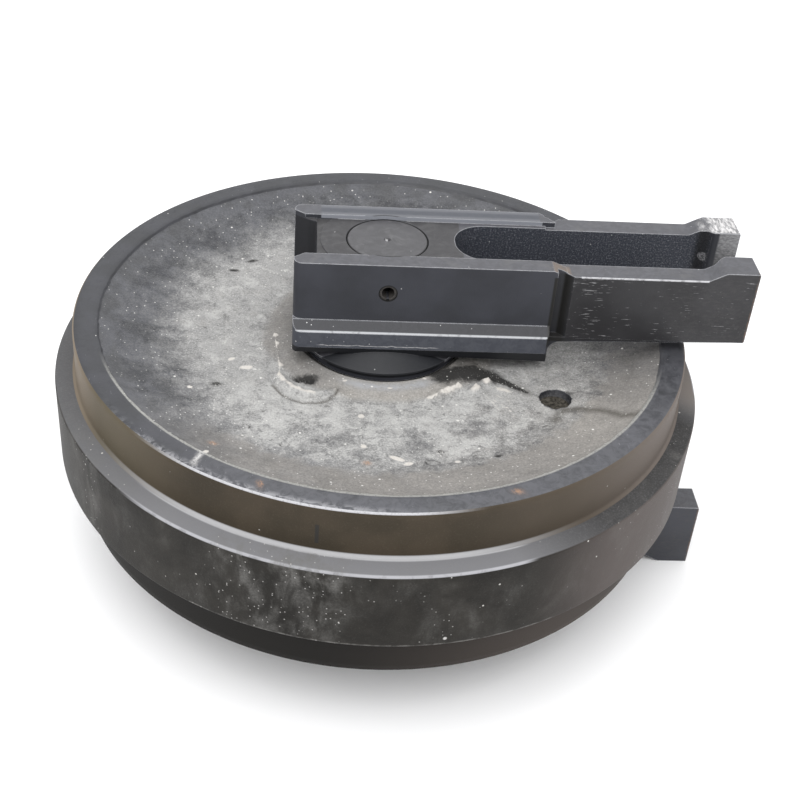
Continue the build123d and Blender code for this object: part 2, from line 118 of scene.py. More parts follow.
class Surface:
    """A material with short calls for its node tree; places are in metres in the part's own frame.
    """

    def __init__(self, name):
        self.material = bpy.data.materials.new(name)
        self.material.use_nodes = True
        self.tree = self.material.node_tree
        self.shader = self.tree.nodes["Principled BSDF"]
        self.place = self.add("ShaderNodeTexCoord").outputs["Object"]
        self.color = (0, 0, 0, 1)

    def add(self, kind, **settings):
        node = self.tree.nodes.new(kind)
        for key, value in settings.items():
            setattr(node, key, value)
        return node

    def put(self, socket, value):
        if isinstance(value, bpy.types.NodeSocket):
            self.tree.links.new(value, socket)
        else:
            socket.default_value = value

    def noise(self, size_mm, detail=3.0, roughness=0.55, distortion=0.0, place=None):
        node = self.add("ShaderNodeTexNoise")
        self.put(node.inputs["Vector"], place or self.place)
        node.inputs["Scale"].default_value = 1 / (size_mm * MM)
        node.inputs["Detail"].default_value = detail
        node.inputs["Roughness"].default_value = roughness
        node.inputs["Distortion"].default_value = distortion
        return node.outputs["Fac"]

    def stretched(self, x, y, z, turn=(0, 0, 0)):
        node = self.add("ShaderNodeMapping")
        self.put(node.inputs["Vector"], self.place)
        node.inputs["Scale"].default_value = (x, y, z)
        node.inputs["Rotation"].default_value = turn
        return node.outputs["Vector"]

    def step(self, value, low, high, to_low=0.0, to_high=1.0):
        node = self.add("ShaderNodeMapRange", interpolation_type="SMOOTHSTEP")
        self.put(node.inputs["Value"], value)
        node.inputs["From Min"].default_value = low
        node.inputs["From Max"].default_value = high
        node.inputs["To Min"].default_value = to_low
        node.inputs["To Max"].default_value = to_high
        return node.outputs["Result"]

    def calc(self, operation, first, second, clamp=False):
        node = self.add("ShaderNodeMath", operation=operation, use_clamp=clamp)
        self.put(node.inputs[0], first)
        self.put(node.inputs[1], second)
        return node.outputs["Value"]

    def folded(self, operation, values):
        total = values[0]
        for value in values[1:]:
            total = self.calc(operation, total, value)
        return total

    def plus(self, *values):
        return self.folded("ADD", values)

    def times(self, *values):
        return self.folded("MULTIPLY", values)

    def most(self, *values):
        return self.folded("MAXIMUM", values)

    def mix(self, factor, first, second, blend="MIX"):
        node = self.add("ShaderNodeMix", data_type="RGBA", blend_type=blend)
        self.put(node.inputs["Factor"], factor)
        self.put(node.inputs["A"], first)
        self.put(node.inputs["B"], second)
        return node.outputs["Result"]

    def lay(self, mask, tone):
        """Lays a tone over the colour so far, as far as the mask goes from 0 to 1."""
        self.color = self.mix(mask, self.color, tone)

    def mottle(self, pattern, low, high, first, second):
        """One tone turning into another as a pattern goes from low to high."""
        return self.mix(self.step(pattern, low, high), first, second)

    def blend(self, factor, first, second):
        node = self.add("ShaderNodeMix", data_type="FLOAT")
        self.put(node.inputs["Factor"], factor)
        self.put(node.inputs["A"], first)
        self.put(node.inputs["B"], second)
        return node.outputs["Result"]

    def painted(self, name):
        return self.add("ShaderNodeAttribute", attribute_name=name).outputs["Fac"]

    def specks(self, cell_mm, size_mm, share, place=None):
        """Round specks, one in some cells of a Voronoi pattern."""
        cells = self.add("ShaderNodeTexVoronoi")
        self.put(cells.inputs["Vector"], place or self.place)
        cells.inputs["Scale"].default_value = 1 / (cell_mm * MM)
        near = self.step(cells.outputs["Distance"], size_mm * 0.6 / cell_mm, size_mm / cell_mm, 1.0, 0.0)
        pick = self.add("ShaderNodeSeparateColor")
        self.put(pick.inputs["Color"], cells.outputs["Color"])
        chosen = self.step(pick.outputs["Red"], share, share + 0.01, 1.0, 0.0)
        return self.times(near, chosen)

    def rounded_normal(self, width_mm):
        rounded = self.add("ShaderNodeBevel", samples=6)
        rounded.inputs["Radius"].default_value = width_mm * MM
        return rounded.outputs["Normal"]

    def worn_edges(self, width_mm):
        """1 along convex and concave edges, 0 on flat faces."""
        flat = self.add("ShaderNodeNewGeometry").outputs["True Normal"]
        dot = self.add("ShaderNodeVectorMath", operation="DOT_PRODUCT")
        self.put(dot.inputs[0], self.rounded_normal(width_mm))
        self.put(dot.inputs[1], flat)
        return self.step(self.calc("SUBTRACT", 1.0, dot.outputs["Value"]), 0.004, 0.05)

    def parts(self, vector):
        node = self.add("ShaderNodeSeparateXYZ")
        self.put(node.inputs["Vector"], vector)
        return node.outputs

    def length(self, vector):
        node = self.add("ShaderNodeVectorMath", operation="LENGTH")
        self.put(node.inputs[0], vector)
        return node.outputs["Value"]

    def zone(self, x=(None, None), y=(None, None), z=(None, None), soft=0.6):
        """1 within ranges in millimetres, with soft ends; None leaves an end open."""
        sides = []
        for value, (start, end) in zip(self.parts(self.place), (x, y, z)):
            if start is not None:
                sides.append(self.step(value, (start - soft) * MM, (start + soft) * MM))
            if end is not None:
                sides.append(self.step(value, (end - soft) * MM, (end + soft) * MM, 1.0, 0.0))
        return self.times(*sides)

    def radius(self):
        """Distance from the shaft's axis, in metres."""
        return self.length(self.stretched(1, 1, 0))

    def nearer(self, low_mm, high_mm):
        """1 nearer to the shaft's axis than a soft limit."""
        return self.step(self.radius(), low_mm * MM, high_mm * MM, 1.0, 0.0)

    def beyond(self, low_mm, high_mm):
        """1 further from the shaft's axis than a soft limit."""
        return self.step(self.radius(), low_mm * MM, high_mm * MM)

    def round_spot(self, axes, centre, inner, outer):
        """1 within a distance in millimetres of a point, measured along the axes whose factor is 1."""
        offset = self.add("ShaderNodeVectorMath", operation="SUBTRACT")
        self.put(offset.inputs[0], self.stretched(*axes))
        self.put(offset.inputs[1], [c * MM for c in centre])
        return self.step(self.length(offset.outputs["Vector"]), inner * MM, outer * MM, 1.0, 0.0)

    def facing_up(self, low=0.6, high=0.95):
        normal = self.add("ShaderNodeNewGeometry").outputs["Normal"]
        return self.step(self.parts(normal)["Z"], low, high)

    def bump(self, height, depth_mm, after=None):
        node = self.add("ShaderNodeBump")
        node.inputs["Distance"].default_value = depth_mm * MM
        node.inputs["Strength"].default_value = 1.0
        self.put(node.inputs["Height"], height)
        if after is not None:
            self.put(node.inputs["Normal"], after)
        return node.outputs["Normal"]

    def finish(self, roughness, normal=None, metallic=0.0, specular=0.5):
        self.put(self.shader.inputs["Base Color"], self.color)
        self.put(self.shader.inputs["Specular IOR Level"], specular)
        self.put(self.shader.inputs["Roughness"], roughness)
        self.put(self.shader.inputs["Metallic"], metallic)
        if normal is not None:
            self.put(self.shader.inputs["Normal"], normal)
        return self.material


# Colours, linear
paint_dark = (0.031, 0.032, 0.037, 1)
paint_blue = (0.050, 0.052, 0.063, 1)
dust_grey = (0.285, 0.283, 0.278, 1)
dust_beige = (0.275, 0.26, 0.24, 1)
dust_dark = (0.075, 0.074, 0.07, 1)
dust_chalk = (0.4, 0.397, 0.388, 1)
deposit_white = (0.62, 0.61, 0.585, 1)
deposit_pink = (0.44, 0.4, 0.36, 1)
ring_sheen = (0.335, 0.343, 0.362, 1)
dirt_brown = (0.058, 0.052, 0.043, 1)
soot_and_shade = (0.024, 0.023, 0.022, 1)
rust = (0.36, 0.2, 0.11, 1)


def web_surface():
    """As-cast web: dark bluish paint under pale mortar-like dust, with white specks, a painted sheen on the
    hub ring and painted shade by the block.
    """
    s = Surface("web_dust")
    clouds = s.noise(34, 3, 0.6, 0.9)
    coarse = s.noise(15, 4, 0.62, 0.6)
    medium = s.noise(6.5, 5, 0.7, 0.6)
    fine = s.noise(1.9, 4, 0.7)
    grain = s.noise(0.9, 2, 0.6)
    cover = s.painted("dust_and_shade")
    smooth = s.painted("smooth")
    large_lumps = s.plus(s.times(clouds, 0.9), s.times(coarse, 0.85))
    uneven = s.plus(large_lumps, s.times(medium, 0.75), s.times(fine, 0.9), -1.7)
    strength = s.times(s.step(cover, 0.0, 0.6, 0.4, 1.25), s.step(smooth, 0, 1, 1.0, 0.3))
    level = s.calc("ADD", cover, s.times(uneven, strength), clamp=True)
    paint = s.mottle(clouds, 0.35, 0.65, paint_dark, paint_blue)
    tone = s.mix(s.painted("warm"), dust_grey, dust_beige)
    rough_cover = s.calc("SUBTRACT", cover, smooth)
    chalk = s.times(s.step(coarse, 0.5, 0.72), s.step(rough_cover, 0.4, 1.0, 0.0, 0.8))
    bright = s.times(s.painted("bright"), s.step(coarse, 0.38, 0.6, 0.1, 0.9))
    tone = s.mix(s.most(chalk, bright), tone, dust_chalk)
    s.color = s.mix(level, paint, tone)
    low_spots = s.times(s.step(medium, 0.3, 0.41, 1.0, 0.0), s.step(coarse, 0.4, 0.6, 1.0, 0.0))
    s.lay(s.times(low_spots, s.step(smooth, 0.2, 0.8, 0.75, 0.0)), dust_dark)
    s.color = s.mix(1.0, s.color, s.step(fine, 0.28, 0.72, 0.82, 1.18), "MULTIPLY")
    # painted sheen: a pale bluish band on the front of the hub ring stands in for a reflection
    s.lay(s.times(s.painted("sheen"), s.step(medium, 0.3, 0.6, 0.2, 0.85)), ring_sheen)
    s.lay(s.times(s.painted("dirt"), s.step(medium, 0.3, 0.55, 0.5, 1.0)), dirt_brown)
    # soot, and painted shade in the wedge between the hub ring and the block
    s.lay(s.step(s.plus(s.painted("soot_and_shade"), s.times(medium, 0.8)), 0.55, 1.05), soot_and_shade)

    # white specks: fine ones in the dust, some larger ones and short smears
    near_dust = s.plus(cover, s.times(clouds, 0.8))
    dusting = s.times(s.specks(1.6, 0.5, 0.45), s.step(near_dust, 0.5, 1.3, 0.04, 0.42))
    dusting = s.times(dusting, s.step(smooth, 0.3, 0.9, 1.0, 0.2))
    small = s.times(s.specks(4.0, 0.8, 0.28), s.step(clouds, 0.35, 0.6, 0.3, 0.95))
    large = s.specks(13, 1.4, 0.2)
    smears = s.specks(24, 4.0, 0.25, s.stretched(0.7, 1.6, 1, (0, 0, 0.5)))
    smears = s.times(smears, s.step(fine, 0.48, 0.6), s.step(rough_cover, 0.55, 0.85))
    s.lay(s.most(dusting, small, large, smears), deposit_white)
    chalky = s.step(s.plus(s.painted("white"), s.times(medium, 0.8)), 0.7, 1.0)
    s.lay(chalky, s.mix(fine, deposit_pink, deposit_white))
    s.lay(s.times(s.painted("rust"), s.step(fine, 0.35, 0.6)), rust)
    rough = s.blend(level, 0.46, 0.9)
    height = s.times(s.plus(fine, medium), s.step(smooth, 0, 1, 1.0, 0.35))
    relief = s.bump(grain, 0.15, s.bump(height, 0.75))
    return s.finish(rough, relief, specular=0.4)


def rim_surface():
    """Turned rim face: bluish dark paint, scuffs, rust spots, cross scratches and a painted highlight on
    its inner edge in front.
    """
    s = Surface("rim_paint")
    coarse = s.noise(45, 3)
    medium = s.noise(9, 5, 0.72, 1.0)
    fine = s.noise(1.8, 3, 0.65)
    s.color = s.mottle(coarse, 0.35, 0.65, (0.015, 0.016, 0.019, 1), (0.026, 0.027, 0.0335, 1))
    dusted = s.times(s.painted("dust_and_shade"), s.step(medium, 0.3, 0.65, 0.35, 1.0))
    s.lay(dusted, (0.135, 0.136, 0.15, 1))
    # painted highlight: a pale line along the rim's inner edge on the lit front side
    lit_side = s.zone(y=(None, -110), soft=35)
    inner_edge_highlight = s.nearer(rim_inner_radius + 1.0, rim_inner_radius + 2.3)
    inner_edge_highlight = s.times(inner_edge_highlight, lit_side, s.step(fine, 0.3, 0.55, 0.45, 1.0))
    s.lay(inner_edge_highlight, (0.3, 0.297, 0.28, 1))
    outer_band = s.zone(x=(-225, -10), y=(None, -60), soft=35)
    outer_band = s.times(outer_band, s.beyond(tread_radius - 9, tread_radius - 2))
    scuffs = s.times(outer_band, s.step(medium, 0.42, 0.6))
    s.lay(s.times(scuffs, 0.75), (0.27, 0.27, 0.285, 1))
    s.lay(s.specks(9, 0.7, 0.25), deposit_white)
    scratches = s.step(s.noise(1.1, 2, 0.6, 0.3, s.stretched(1, 0.16, 1, (0, 0, -0.75))), 0.68, 0.74)
    scratches = s.times(scratches, s.step(coarse, 0.45, 0.6))
    s.lay(s.times(scratches, 0.6), (0.3, 0.3, 0.32, 1))
    s.lay(s.times(s.painted("white"), s.step(fine, 0.3, 0.55)), (0.5, 0.49, 0.48, 1))
    s.lay(s.times(s.painted("rust"), s.step(fine, 0.35, 0.55)), rust)
    return s.finish(s.step(medium, 0.4, 0.8, 0.46, 0.7), s.bump(fine, 0.12))


def tread_surface():
    """Tread between rim and flange: brown dust, paler to the right, with a pale corner and rim edge."""
    s = Surface("tread_dust")
    coarse = s.noise(60, 3)
    fine = s.noise(1.6, 4, 0.7)
    s.color = s.mottle(coarse, 0.35, 0.65, (0.034, 0.027, 0.018, 1), (0.048, 0.037, 0.025, 1))
    s.lay(s.step(fine, 0.5, 0.8, 0, 0.3), (0.10, 0.083, 0.065, 1))
    golden = s.zone(x=(None, -205), soft=45)
    s.lay(s.times(golden, 0.75), (0.105, 0.088, 0.06, 1))
    far_left = s.zone(x=(None, -268), soft=18)
    s.lay(far_left, (0.175, 0.143, 0.108, 1))
    tan = s.zone(x=(95, None), soft=55)
    s.lay(s.times(tan, 0.6), (0.082, 0.066, 0.05, 1))
    pinkish = s.zone(x=(205, None), soft=70)
    s.lay(s.times(pinkish, 0.9), (0.155, 0.132, 0.118, 1))
    s.lay(s.specks(11, 0.8, 0.15), (0.36, 0.35, 0.33, 1))
    low_side = s.zone(z=(None, -30), soft=3)
    to_right = s.zone(x=(60, None), soft=130)
    low_tone = s.mix(to_right, (0.0065, 0.0055, 0.0045, 1), (0.046, 0.037, 0.032, 1))
    s.lay(low_side, low_tone)
    side_light = s.zone(x=(-215, 115), soft=60)
    corner = s.times(s.zone(z=(slope_inner_height - 1.2, slope_inner_height + 2.0), soft=0.8), side_light)
    s.lay(s.times(corner, 0.95), (0.36, 0.36, 0.37, 1))
    rim_light = s.zone(x=(-190, 45), soft=35)
    rim_edge = s.times(s.zone(z=(wheel_half_width - 1.6, wheel_half_width + 0.3), soft=0.4), rim_light)
    s.lay(s.times(rim_edge, s.step(fine, 0.3, 0.5, 0.6, 1.0)), (0.42, 0.42, 0.44, 1))
    tick = s.zone(x=(-64.4, -61.2), z=(53, 73), soft=0.5)
    s.lay(s.times(tick, 0.9), soot_and_shade)
    return s.finish(0.6, s.bump(fine, 0.12), specular=0.15)


def flange_surface():
    """Centre flange: dark dusty paint, a pale upper slope, cloudy whitish marks and specks."""
    s = Surface("flange_paint")
    coarse = s.noise(70, 4, 0.6, 0.5)
    medium = s.noise(13, 4, 0.65, 0.5)
    fine = s.noise(1.7, 4, 0.7)
    s.color = s.mottle(coarse, 0.3, 0.7, (0.0085, 0.0075, 0.0062, 1), (0.022, 0.0198, 0.0168, 1))
    s.lay(s.step(fine, 0.5, 0.8, 0, 0.35), (0.06, 0.056, 0.05, 1))
    pinkish = s.zone(x=(165, None), soft=55)
    s.lay(s.times(pinkish, 0.85), (0.085, 0.07, 0.065, 1))

    # upper slope: pale blue grey to the left and in front, dark to the right, with bright edges
    slope = s.facing_up(0.5, 0.9)
    light = s.painted("slope_light")
    slope_tone = s.mix(light, (0.022, 0.021, 0.02, 1), (0.16, 0.16, 0.168, 1))
    slope_tone = s.mix(s.painted("slope_warm"), slope_tone, (0.165, 0.146, 0.133, 1))
    slope_tone = s.mix(s.step(fine, 0.45, 0.75, 0, 0.3), slope_tone, (0.17, 0.17, 0.175, 1))
    s.lay(slope, slope_tone)
    edge_light = s.step(light, 0.8, 1.0)
    outer_edge = s.zone(z=(slope_outer_height - 1.9, None), soft=0.5)
    outer_edge = s.times(outer_edge, s.beyond(flange_radius - 2.2, flange_radius - 1.0))
    outer_edge = s.times(outer_edge, edge_light, s.step(medium, 0.3, 0.5, 0.6, 1.0))
    s.lay(outer_edge, (0.33, 0.33, 0.35, 1))
    inner_edge = s.nearer(tread_radius + 3.2, tread_radius + 4.8)
    s.lay(s.times(inner_edge, edge_light), (0.36, 0.36, 0.37, 1))
    low_edge = s.zone(x=(-170, 150), z=(-slope_outer_height - 0.1, -slope_outer_height + 2.5), soft=0.5)
    low_edge = s.times(low_edge, s.step(medium, 0.38, 0.62, 0.05, 0.8))
    s.lay(low_edge, (0.13, 0.125, 0.118, 1))

    # whitish marks: cloudy, a little streaked up and down, and clusters of specks
    streaks = s.noise(17, 4, 0.62, 0.3, s.stretched(1, 1, 0.5))
    cloudy = s.times(s.step(streaks, 0.36, 0.7), s.step(medium, 0.3, 0.6, 0.45, 1.0))
    cloudy = s.times(cloudy, s.step(fine, 0.25, 0.7, 0.45, 1.0))
    s.lay(s.times(s.painted("white"), cloudy), (0.13, 0.127, 0.121, 1))
    everywhere = s.times(s.step(coarse, 0.5, 0.68, 0.0, 0.16), cloudy)
    s.lay(everywhere, (0.16, 0.155, 0.148, 1))
    clustered = s.step(s.plus(medium, s.painted("white")), 0.58, 0.85)
    clusters = s.times(s.specks(3.8, 0.75, 0.35), clustered)
    s.lay(s.times(clusters, 0.7), (0.42, 0.41, 0.4, 1))
    s.lay(s.specks(15, 1.1, 0.3), (0.45, 0.44, 0.42, 1))
    s.lay(s.specks(48, 2.4, 0.3), (0.42, 0.41, 0.4, 1))
    return s.finish(0.55, s.bump(fine, 0.15, s.bump(medium, 0.2)), specular=0.15)


def lay_block_tops(s, medium, up, machined, near_bore):
    """Upward faces: dusty, duller where machined round the shaft, with painted shade in the gap at the
    bore.
    """
    s.lay(up, s.mottle(medium, 0.35, 0.7, (0.064, 0.064, 0.072, 1), (0.094, 0.095, 0.106, 1)))
    s.lay(machined, s.mottle(medium, 0.35, 0.75, (0.042, 0.041, 0.043, 1), (0.055, 0.054, 0.056, 1)))
    wisps = s.step(s.noise(24, 4, 0.6, 1.4), 0.5, 0.72, 0.0, 0.45)
    s.lay(s.times(wisps, up), (0.105, 0.104, 0.106, 1))

    # far rib: its top painted bluish as a painted sky reflection, with painted highlights along both edges
    # and darker between them
    far_rib = s.times(s.zone(x=(-62, 150), y=(rib_inner, None), z=(main_face + 1, None), soft=0.5), up)
    rib_middle = s.zone(y=(41, 50), soft=2.5)
    s.lay(far_rib, s.mix(rib_middle, (0.112, 0.116, 0.13, 1), (0.062, 0.066, 0.079, 1)))
    # painted shade in the gap between the bore and the shaft
    s.lay(s.times(near_bore, s.nearer(shaft_radius + 0.9, shaft_radius + 1.2)), (0.004, 0.004, 0.004, 1))


def lay_block_lips(s, medium, lip_face, collar):
    """Near lip, its face paler and bluish as a painted sheen, dark on its slope, and the dark collar."""
    # painted sheen on the lip's face
    s.lay(lip_face, s.mottle(medium, 0.35, 0.65, (0.056, 0.06, 0.074, 1), (0.075, 0.08, 0.095, 1)))
    lip_slope = s.times(lip_face, s.facing_up(0.3, 0.6))
    s.lay(lip_slope, s.mottle(medium, 0.35, 0.65, (0.023, 0.0235, 0.028, 1), (0.036, 0.0365, 0.042, 1)))
    s.lay(collar, (0.014, 0.015, 0.018, 1))


def lay_cast_hollows(s, grains, cast, sideways):
    """As-cast slot, painted shade in the rear pocket and in a recess of the far arm, the pip in that arm,
    and a painted highlight on the wall of the far rib.
    """
    s.lay(cast, (0.032, 0.036, 0.048, 1))
    s.lay(s.times(cast, s.step(grains, 0.48, 0.7, 0.0, 0.8)), (0.23, 0.235, 0.26, 1))
    # painted shade in the rear pocket
    pocket_shade = s.zone(x=(None, -66), y=(-44, 44), z=(95, main_face - 1), soft=0.5)
    s.lay(s.times(pocket_shade, 0.8), (0.014, 0.014, 0.016, 1))
    # painted shade of a recess in the far arm's inner wall, which is not modelled
    recess_shade = s.times(s.zone(x=(305, 325), y=(22.5, 34), soft=4), sideways)
    s.lay(s.times(recess_shade, 0.85), (0.011, 0.011, 0.012, 1))
    pip = s.times(s.round_spot((1, 0, 1), (313.5, 0, 152.5), 4.4, 5.2), s.zone(y=(24, 33)))
    s.lay(pip, s.mottle(grains, 0.42, 0.6, (0.04, 0.04, 0.043, 1), (0.2, 0.2, 0.21, 1)))
    # painted highlight on the far rib's inner wall, standing in for its lit rounded edge
    wall_depth = (rib_inner - 0.5, rib_inner + 1.9)
    rib_wall_highlight = s.zone(x=(-62, guide_front - 3), y=wall_depth, z=(main_face + 0.4, rib_top - 0.1), soft=0.3)
    s.lay(s.times(rib_wall_highlight, sideways), (0.24, 0.25, 0.28, 1))


def lay_far_ear(s):
    """Bare, brushed top and side of the far ear, the side painted lit toward its top and shaded lower down.
    """
    brushed = s.noise(2.6, 4, 0.7, 0.6, s.stretched(1.0, 0.3, 1, (0, 0, 0.5)))
    ear_top = s.times(s.zone(x=(308, None), y=(18, None), z=(171, None), soft=4), s.facing_up(0.3, 0.7))
    bare = s.step(s.plus(s.noise(14, 3, 0.6), s.zone(x=(326, None), soft=14)), 0.3, 0.75)
    ear_tone = s.mottle(brushed, 0.36, 0.62, (0.13, 0.13, 0.135, 1), (0.58, 0.57, 0.57, 1))
    s.lay(s.times(ear_top, bare), ear_tone)
    ear_face = s.zone(x=(324, None), y=(18, 23.5), z=(98, None), soft=1.0)
    rubbed = s.noise(1.2, 4, 0.65, 0.2, s.stretched(0.35, 1, 1))
    shaded = s.mottle(rubbed, 0.35, 0.65, (0.05, 0.05, 0.053, 1), (0.105, 0.105, 0.108, 1))
    lit = s.mottle(rubbed, 0.35, 0.65, (0.12, 0.12, 0.124, 1), (0.24, 0.24, 0.247, 1))
    s.lay(ear_face, s.mix(s.zone(z=(158, None), soft=16), shaded, lit))


def lay_near_arm(s, coarse, medium, sideways):
    """Near face of the arm: horizontal scratches, scuffs toward its end and rust on the end's edge."""
    side_face = s.zone(x=(170, None), y=(None, -arm_half + 1), z=(100, 182), soft=1.0)
    arm_tone = s.mottle(coarse, 0.35, 0.65, (0.021, 0.0205, 0.0225, 1), (0.03, 0.0295, 0.032, 1))
    s.lay(s.times(side_face, sideways), arm_tone)
    strokes = s.noise(1.5, 3, 0.7, 0.25, s.stretched(0.11, 1, 1))
    worn_patch = s.step(s.noise(26, 2, 0.5), 0.42, 0.6, 0.0, 0.07)
    near_relief = s.times(s.zone(x=(None, 200), z=(118, None), soft=14), 0.05)
    scratches = s.times(s.step(s.plus(strokes, worn_patch, near_relief), 0.68, 0.74), side_face)
    s.lay(s.times(scratches, 0.7), (0.3, 0.3, 0.31, 1))
    toward_end = s.zone(x=(262, None), y=(None, -arm_half + 1), soft=30)
    scuffs = s.step(s.noise(2.2, 4, 0.7, 0.3, s.stretched(0.4, 1, 1)), 0.42, 0.7, 0.0, 0.6)
    s.lay(s.times(toward_end, scuffs), (0.058, 0.055, 0.055, 1))
    end_edge = s.times(s.zone(x=(342.8, None), z=(None, 184), soft=0.5), s.zone(y=(None, -50), soft=1))
    s.lay(s.times(end_edge, s.step(medium, 0.4, 0.6, 0.15, 0.8)), (0.12, 0.075, 0.05, 1))


def lay_bright_lines(s, medium, fine, lip_zone):
    """Bare lines: the arm's upper edge, the lip's edge and a wavy scratch along the lip."""
    arm_edge = (-arm_half - 0.9, -arm_half + 0.9)
    arm_line = s.zone(x=(177, 297), y=arm_edge, z=(arm_top - 1.3, arm_top + 0.6), soft=0.4)
    s.lay(s.times(arm_line, s.step(medium, 0.32, 0.55, 0.15, 1.0)), (0.5, 0.5, 0.52, 1))
    lip_line = s.times(lip_zone, s.zone(y=(-66, -62), z=(109.5, 110.9), soft=0.4))
    s.lay(s.times(lip_line, s.step(medium, 0.3, 0.5, 0.45, 1.0)), (0.4, 0.41, 0.43, 1))
    wavy_height = s.plus(s.parts(s.place)["Z"], s.times(s.noise(16, 2), 5 * MM))
    above = s.step(wavy_height, 97.6 * MM, 98.0 * MM)
    below = s.step(wavy_height, 98.4 * MM, 98.9 * MM, 1.0, 0.0)
    scratch = s.times(above, below, s.zone(x=(-62, 48), y=(None, -60), soft=4))
    s.lay(s.times(scratch, s.step(fine, 0.35, 0.5, 0.3, 1.0)), (0.36, 0.36, 0.37, 1))


def block_surface():
    """Bearing block: dark primer, dusty tops, cast hollows, painted shade in recesses and gaps, painted
    highlights and sheen, scratches and bright worn edges.
    """
    s = Surface("block_primer")
    coarse = s.noise(45, 3)
    medium = s.noise(7, 5, 0.7, 0.6)
    fine = s.noise(1.3, 3, 0.65)
    grains = s.noise(1.6, 4, 0.75)
    up = s.facing_up()
    sideways = s.calc("SUBTRACT", 1.0, up)
    machined = s.zone(x=(-80, 70), y=(-rib_inner, rib_inner), z=(None, main_face + 0.3), soft=0.5)
    machined = s.times(up, machined)
    near_bore = s.times(s.nearer(shaft_radius + 3, shaft_radius + 4), s.zone(z=(150, None)))
    lip_zone = s.zone(x=(None, guide_front - 3), z=(93, 118.5), soft=0.4)
    lip_face = s.times(lip_zone, s.zone(y=(None, -guide_half - 0.6), soft=0.3))
    collar = s.times(s.beyond(60, 61), s.zone(y=(None, -57), z=(hub_top, 92.6), soft=0.4))
    cast = s.times(s.zone(x=(64, 317), y=(-slot_half - 0.6, slot_half + 0.6), soft=0.3), sideways)
    relief = s.zone(x=(guide_front - 3, None), y=(None, -46), z=(100, 171.5), soft=0.8)
    relief = s.times(relief, s.zone(x=(None, 171), soft=5))

    s.color = s.mottle(coarse, 0.3, 0.7, (0.0325, 0.034, 0.0405, 1), (0.0425, 0.0445, 0.054, 1))
    lay_block_tops(s, medium, up, machined, near_bore)
    lay_block_lips(s, medium, lip_face, collar)
    lay_cast_hollows(s, grains, cast, sideways)

    # relief and ramp beside the guide: painted shade in the relief with a soft edge, brown on the ramp
    s.lay(s.times(relief, 0.9), (0.013, 0.0125, 0.011, 1))
    ramp = s.times(s.zone(x=(151, 168), y=(-60, -36), z=(171, None), soft=1.5), up)
    s.lay(s.times(ramp, s.step(medium, 0.3, 0.6, 0.45, 0.95)), (0.15, 0.118, 0.095, 1))

    lay_far_ear(s)
    lay_near_arm(s, coarse, medium, sideways)
    s.lay(s.specks(10, 0.6, 0.2), (0.5, 0.5, 0.5, 1))
    s.lay(s.times(s.specks(5, 0.7, 0.3), lip_face, s.step(coarse, 0.4, 0.6)), (0.6, 0.6, 0.6, 1))

    # worn edges, none at the bore, the pin hole, the relief and the collar
    edges = s.times(s.worn_edges(1.3), s.step(medium, 0.3, 0.55, 0.5, 1.0))
    pin_zone = s.zone(x=(-11, 11), y=(None, -52), z=(pin_height - 11.2, pin_height + 10.8), soft=0.5)
    neck = s.zone(x=(-80, -46), y=(-rib_inner, rib_inner), z=(170, 175), soft=0.5)
    relief_edge = s.zone(x=(160, 178), y=(None, -50), z=(100, 170), soft=1.5)
    unworn = s.most(pin_zone, neck, relief_edge, near_bore, collar, relief)
    s.lay(s.times(edges, s.step(unworn, 0.0, 0.6, 1.0, 0.05)), (0.33, 0.335, 0.355, 1))

    lay_bright_lines(s, medium, fine, lip_zone)
    # painted shade in the gap round the lock pin
    pin_gap_shade = s.times(s.round_spot((1, 0, 1), (0, 0, pin_height), 8.6, 9.0), pin_zone)
    s.lay(pin_gap_shade, (0.006, 0.006, 0.006, 1))
    relief_bump = s.bump(s.times(grains, cast), 1.0, s.rounded_normal(0.8))
    rough = s.blend(machined, s.step(medium, 0.3, 0.8, 0.4, 0.52), 0.58)
    return s.finish(rough, s.bump(fine, 0.1, relief_bump), specular=0.3)


def core_dirt():
    """Dirt that lies on the plugs in the core holes: brown and crumbly."""
    s = Surface("core_dirt")
    crumbs = s.noise(4, 4, 0.7, 0.5)
    fine = s.noise(1.4, 3, 0.65)
    s.color = s.mottle(crumbs, 0.35, 0.65, (0.016, 0.014, 0.011, 1), (0.085, 0.077, 0.064, 1))
    s.lay(s.specks(4, 0.6, 0.3), (0.3, 0.29, 0.27, 1))
    return s.finish(0.9, s.bump(fine, 0.3, s.bump(crumbs, 1.5)), specular=0.2)


def plain_metal(name, color, roughness, metallic=1.0):
    """Turned or stamped metal with fine rings about the shaft's axis."""
    s = Surface(name)
    spots = s.noise(6, 4, 0.65)
    rings = s.noise(0.8, 2, 0.5, 0, s.stretched(0.2, 0.2, 1))
    darker = tuple(0.6 * c for c in color[:3]) + (1,)
    s.color = s.mottle(spots, 0.35, 0.7, color, darker)
    rough = s.step(spots, 0.3, 0.7, roughness * 0.85, roughness * 1.15)
    return s.finish(rough, s.bump(rings, 0.05), metallic)


